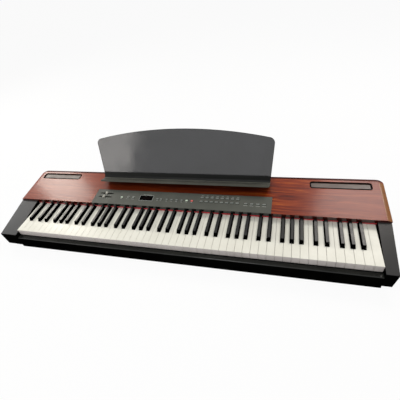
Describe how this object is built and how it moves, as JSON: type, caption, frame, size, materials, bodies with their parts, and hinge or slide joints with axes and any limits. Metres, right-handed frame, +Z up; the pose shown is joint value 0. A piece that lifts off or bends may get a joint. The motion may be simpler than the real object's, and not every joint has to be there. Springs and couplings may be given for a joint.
{
  "type": "digital piano",
  "caption": "Low, wide digital piano with a full hammer-weighted keyboard, wooden lid, let-in control console, lift-off smoked music rest and rear sockets.",
  "frame": {"origin": "centre of the footprint, on the plane that the rubber feet stand on", "axes": "+X along the keyboard to the treble end, +Y away from the player to the rear panel, +Z up from the feet"},
  "size_m": [1.3404, 0.3646, 0.2971],
  "materials": {
    "lid_wood": "satin lacquered rosewood-coloured veneer, grain along the keyboard",
    "black_board": "black painted fibreboard, eggshell",
    "gloss_black_plastic": "gloss black extrusion",
    "charcoal_plastic": "satin charcoal moulding",
    "console_plastic": "fine textured green-grey moulding",
    "button_grey": "satin light grey caps",
    "button_pale": "satin pale green-white cap",
    "display_acrylic": "polished black window",
    "white_key_acrylic": "polished warm white",
    "black_key_plastic": "satin black",
    "smoked_acrylic": "polished smoked clear sheet",
    "ledge_plastic": "satin dark grey extrusion",
    "grille_metal": "matt black pressed mesh",
    "speaker_metal": "black frame and paper cone",
    "red_felt": "woven wool felt",
    "stop_felt": "pressed wool felt",
    "frame_plastic": "glass-filled black moulding",
    "hammer_iron": "blackened weighted arm",
    "rod_steel": "ground steel",
    "screw_steel": "black oxide steel",
    "insert_brass": "turned brass",
    "foot_rubber": "matt black rubber",
    "socket_plastic": "black moulding",
    "circuit_board": "green solder resist",
    "supply_metal": "folded steel case"
  },
  "bodies": {
    "case": {"bottom_board": "black_board", "front_rail": "gloss_black_plastic", "left_end_block": "charcoal_plastic", "right_end_block": "charcoal_plastic", "top_cover": "lid_wood", "rear_panel": "black_board", "rubber_feet": "foot_rubber", "stand_inserts": "insert_brass", "case_screws": "screw_steel", "red_felt_strip": "red_felt", "key_frame": "frame_plastic", "pivot_rods": "rod_steel", "key_stop_felts": "stop_felt", "key_contact_board": "circuit_board", "control_panel": "console_plastic", "display_window": "display_acrylic", "panel_board": "circuit_board", "speaker_grille_left": "grille_metal", "speaker_grille_right": "grille_metal", "speakers": "speaker_metal", "music_rest_sockets": "frame_plastic", "jack_sockets": "socket_plastic", "ac_inlet": "socket_plastic", "main_board": "circuit_board", "power_supply": "supply_metal"},
    "key_set_c": {"keys_c": "white_key_acrylic"},
    "hammer_set_c": {"hammers_c": "hammer_iron"},
    "key_set_c_sharp": {"keys_c_sharp": "black_key_plastic"},
    "hammer_set_c_sharp": {"hammers_c_sharp": "hammer_iron"},
    "key_set_d": {"keys_d": "white_key_acrylic"},
    "hammer_set_d": {"hammers_d": "hammer_iron"},
    "key_set_d_sharp": {"keys_d_sharp": "black_key_plastic"},
    "hammer_set_d_sharp": {"hammers_d_sharp": "hammer_iron"},
    "key_set_e": {"keys_e": "white_key_acrylic"},
    "hammer_set_e": {"hammers_e": "hammer_iron"},
    "key_set_f": {"keys_f": "white_key_acrylic"},
    "hammer_set_f": {"hammers_f": "hammer_iron"},
    "key_set_f_sharp": {"keys_f_sharp": "black_key_plastic"},
    "hammer_set_f_sharp": {"hammers_f_sharp": "hammer_iron"},
    "key_set_g": {"keys_g": "white_key_acrylic"},
    "hammer_set_g": {"hammers_g": "hammer_iron"},
    "key_set_g_sharp": {"keys_g_sharp": "black_key_plastic"},
    "hammer_set_g_sharp": {"hammers_g_sharp": "hammer_iron"},
    "key_set_a": {"keys_a": "white_key_acrylic"},
    "hammer_set_a": {"hammers_a": "hammer_iron"},
    "key_set_a_sharp": {"keys_a_sharp": "black_key_plastic"},
    "hammer_set_a_sharp": {"hammers_a_sharp": "hammer_iron"},
    "key_set_b": {"keys_b": "white_key_acrylic"},
    "hammer_set_b": {"hammers_b": "hammer_iron"},
    "demo_button_caps": {"demo_button": "button_pale"},
    "tempo_buttons_caps": {"tempo_buttons": "button_grey"},
    "song_buttons_caps": {"song_buttons": "button_grey"},
    "voice_buttons_upper_caps": {"voice_buttons_upper": "button_grey"},
    "voice_buttons_lower_caps": {"voice_buttons_lower": "button_grey"},
    "effect_buttons_caps": {"effect_buttons": "button_grey"},
    "volume_slider": {"volume_slider_knob": "button_grey"},
    "brilliance_slider": {"brilliance_slider_knob": "button_grey"},
    "power_switch": {"power_button": "socket_plastic"},
    "music_rest": {"music_rest_panel": "smoked_acrylic", "music_rest_ledge": "ledge_plastic"}
  },
  "joints": [
    {"name": "key_c_press", "type": "hinge", "parent": "case", "child": "key_set_c", "pos_m": [0, 0.07319, 0.0725], "axis": [1, 0, 0], "range_deg": [0, 2.44], "stiffness_Nm_per_rad": 6, "springref_deg": -11.46},
    {"name": "hammer_c_swing", "type": "hinge", "parent": "case", "child": "hammer_set_c", "pos_m": [0, -0.01181, 0.0415], "axis": [1, 0, 0], "range_deg": [0, 6.61]},
    {"name": "key_c_sharp_press", "type": "hinge", "parent": "case", "child": "key_set_c_sharp", "pos_m": [0, 0.07319, 0.0725], "axis": [1, 0, 0], "range_deg": [0, 2.44], "stiffness_Nm_per_rad": 6, "springref_deg": -11.46},
    {"name": "hammer_c_sharp_swing", "type": "hinge", "parent": "case", "child": "hammer_set_c_sharp", "pos_m": [0, -0.01181, 0.0415], "axis": [1, 0, 0], "range_deg": [0, 6.61]},
    {"name": "key_d_press", "type": "hinge", "parent": "case", "child": "key_set_d", "pos_m": [0, 0.07319, 0.0725], "axis": [1, 0, 0], "range_deg": [0, 2.44], "stiffness_Nm_per_rad": 6, "springref_deg": -11.46},
    {"name": "hammer_d_swing", "type": "hinge", "parent": "case", "child": "hammer_set_d", "pos_m": [0, -0.01181, 0.0415], "axis": [1, 0, 0], "range_deg": [0, 6.61]},
    {"name": "key_d_sharp_press", "type": "hinge", "parent": "case", "child": "key_set_d_sharp", "pos_m": [0, 0.07319, 0.0725], "axis": [1, 0, 0], "range_deg": [0, 2.44], "stiffness_Nm_per_rad": 6, "springref_deg": -11.46},
    {"name": "hammer_d_sharp_swing", "type": "hinge", "parent": "case", "child": "hammer_set_d_sharp", "pos_m": [0, -0.01181, 0.0415], "axis": [1, 0, 0], "range_deg": [0, 6.61]},
    {"name": "key_e_press", "type": "hinge", "parent": "case", "child": "key_set_e", "pos_m": [0, 0.07319, 0.0725], "axis": [1, 0, 0], "range_deg": [0, 2.44], "stiffness_Nm_per_rad": 6, "springref_deg": -11.46},
    {"name": "hammer_e_swing", "type": "hinge", "parent": "case", "child": "hammer_set_e", "pos_m": [0, -0.01181, 0.0415], "axis": [1, 0, 0], "range_deg": [0, 6.61]},
    {"name": "key_f_press", "type": "hinge", "parent": "case", "child": "key_set_f", "pos_m": [0, 0.07319, 0.0725], "axis": [1, 0, 0], "range_deg": [0, 2.44], "stiffness_Nm_per_rad": 6, "springref_deg": -11.46},
    {"name": "hammer_f_swing", "type": "hinge", "parent": "case", "child": "hammer_set_f", "pos_m": [0, -0.01181, 0.0415], "axis": [1, 0, 0], "range_deg": [0, 6.61]},
    {"name": "key_f_sharp_press", "type": "hinge", "parent": "case", "child": "key_set_f_sharp", "pos_m": [0, 0.07319, 0.0725], "axis": [1, 0, 0], "range_deg": [0, 2.44], "stiffness_Nm_per_rad": 6, "springref_deg": -11.46},
    {"name": "hammer_f_sharp_swing", "type": "hinge", "parent": "case", "child": "hammer_set_f_sharp", "pos_m": [0, -0.01181, 0.0415], "axis": [1, 0, 0], "range_deg": [0, 6.61]},
    {"name": "key_g_press", "type": "hinge", "parent": "case", "child": "key_set_g", "pos_m": [0, 0.07319, 0.0725], "axis": [1, 0, 0], "range_deg": [0, 2.44], "stiffness_Nm_per_rad": 6, "springref_deg": -11.46},
    {"name": "hammer_g_swing", "type": "hinge", "parent": "case", "child": "hammer_set_g", "pos_m": [0, -0.01181, 0.0415], "axis": [1, 0, 0], "range_deg": [0, 6.61]},
    {"name": "key_g_sharp_press", "type": "hinge", "parent": "case", "child": "key_set_g_sharp", "pos_m": [0, 0.07319, 0.0725], "axis": [1, 0, 0], "range_deg": [0, 2.44], "stiffness_Nm_per_rad": 6, "springref_deg": -11.46},
    {"name": "hammer_g_sharp_swing", "type": "hinge", "parent": "case", "child": "hammer_set_g_sharp", "pos_m": [0, -0.01181, 0.0415], "axis": [1, 0, 0], "range_deg": [0, 6.61]},
    {"name": "key_a_press", "type": "hinge", "parent": "case", "child": "key_set_a", "pos_m": [0, 0.07319, 0.0725], "axis": [1, 0, 0], "range_deg": [0, 2.44], "stiffness_Nm_per_rad": 6, "springref_deg": -11.46},
    {"name": "hammer_a_swing", "type": "hinge", "parent": "case", "child": "hammer_set_a", "pos_m": [0, -0.01181, 0.0415], "axis": [1, 0, 0], "range_deg": [0, 6.61]},
    {"name": "key_a_sharp_press", "type": "hinge", "parent": "case", "child": "key_set_a_sharp", "pos_m": [0, 0.07319, 0.0725], "axis": [1, 0, 0], "range_deg": [0, 2.44], "stiffness_Nm_per_rad": 6, "springref_deg": -11.46},
    {"name": "hammer_a_sharp_swing", "type": "hinge", "parent": "case", "child": "hammer_set_a_sharp", "pos_m": [0, -0.01181, 0.0415], "axis": [1, 0, 0], "range_deg": [0, 6.61]},
    {"name": "key_b_press", "type": "hinge", "parent": "case", "child": "key_set_b", "pos_m": [0, 0.07319, 0.0725], "axis": [1, 0, 0], "range_deg": [0, 2.44], "stiffness_Nm_per_rad": 6, "springref_deg": -11.46},
    {"name": "hammer_b_swing", "type": "hinge", "parent": "case", "child": "hammer_set_b", "pos_m": [0, -0.01181, 0.0415], "axis": [1, 0, 0], "range_deg": [0, 6.61]},
    {"name": "demo_button_press", "type": "slide", "parent": "case", "child": "demo_button_caps", "axis": [0, 0.0724, -0.9974], "range_m": [0, 0.0008], "stiffness_N_per_m": 500, "springref_m": -0.001},
    {"name": "tempo_buttons_press", "type": "slide", "parent": "case", "child": "tempo_buttons_caps", "axis": [0, 0.0724, -0.9974], "range_m": [0, 0.0008], "stiffness_N_per_m": 500, "springref_m": -0.001},
    {"name": "song_buttons_press", "type": "slide", "parent": "case", "child": "song_buttons_caps", "axis": [0, 0.0724, -0.9974], "range_m": [0, 0.0008], "stiffness_N_per_m": 500, "springref_m": -0.001},
    {"name": "voice_buttons_upper_press", "type": "slide", "parent": "case", "child": "voice_buttons_upper_caps", "axis": [0, 0.0724, -0.9974], "range_m": [0, 0.0008], "stiffness_N_per_m": 500, "springref_m": -0.001},
    {"name": "voice_buttons_lower_press", "type": "slide", "parent": "case", "child": "voice_buttons_lower_caps", "axis": [0, 0.0724, -0.9974], "range_m": [0, 0.0008], "stiffness_N_per_m": 500, "springref_m": -0.001},
    {"name": "effect_buttons_press", "type": "slide", "parent": "case", "child": "effect_buttons_caps", "axis": [0, 0.0724, -0.9974], "range_m": [0, 0.0008], "stiffness_N_per_m": 500, "springref_m": -0.001},
    {"name": "volume_slide", "type": "slide", "parent": "case", "child": "volume_slider", "axis": [1, 0, 0], "range_m": [-0.0215, 0.0215]},
    {"name": "brilliance_slide", "type": "slide", "parent": "case", "child": "brilliance_slider", "axis": [1, 0, 0], "range_m": [-0.0165, 0.0265]},
    {"name": "power_press", "type": "slide", "parent": "case", "child": "power_switch", "axis": [0, -1, 0], "range_m": [0, 0.0025], "stiffness_N_per_m": 400, "springref_m": -0.002},
    {"name": "music_rest_lift", "type": "slide", "parent": "case", "child": "music_rest", "axis": [0, 0.3987, 0.9171], "range_m": [0, 0.045]}
  ],
  "couplings": [
    {"joint": "hammer_c_swing", "follows": "key_c_press", "ratio": 2.7},
    {"joint": "hammer_c_sharp_swing", "follows": "key_c_sharp_press", "ratio": 2.7},
    {"joint": "hammer_d_swing", "follows": "key_d_press", "ratio": 2.7},
    {"joint": "hammer_d_sharp_swing", "follows": "key_d_sharp_press", "ratio": 2.7},
    {"joint": "hammer_e_swing", "follows": "key_e_press", "ratio": 2.7},
    {"joint": "hammer_f_swing", "follows": "key_f_press", "ratio": 2.7},
    {"joint": "hammer_f_sharp_swing", "follows": "key_f_sharp_press", "ratio": 2.7},
    {"joint": "hammer_g_swing", "follows": "key_g_press", "ratio": 2.7},
    {"joint": "hammer_g_sharp_swing", "follows": "key_g_sharp_press", "ratio": 2.7},
    {"joint": "hammer_a_swing", "follows": "key_a_press", "ratio": 2.7},
    {"joint": "hammer_a_sharp_swing", "follows": "key_a_sharp_press", "ratio": 2.7},
    {"joint": "hammer_b_swing", "follows": "key_b_press", "ratio": 2.7}
  ]
}
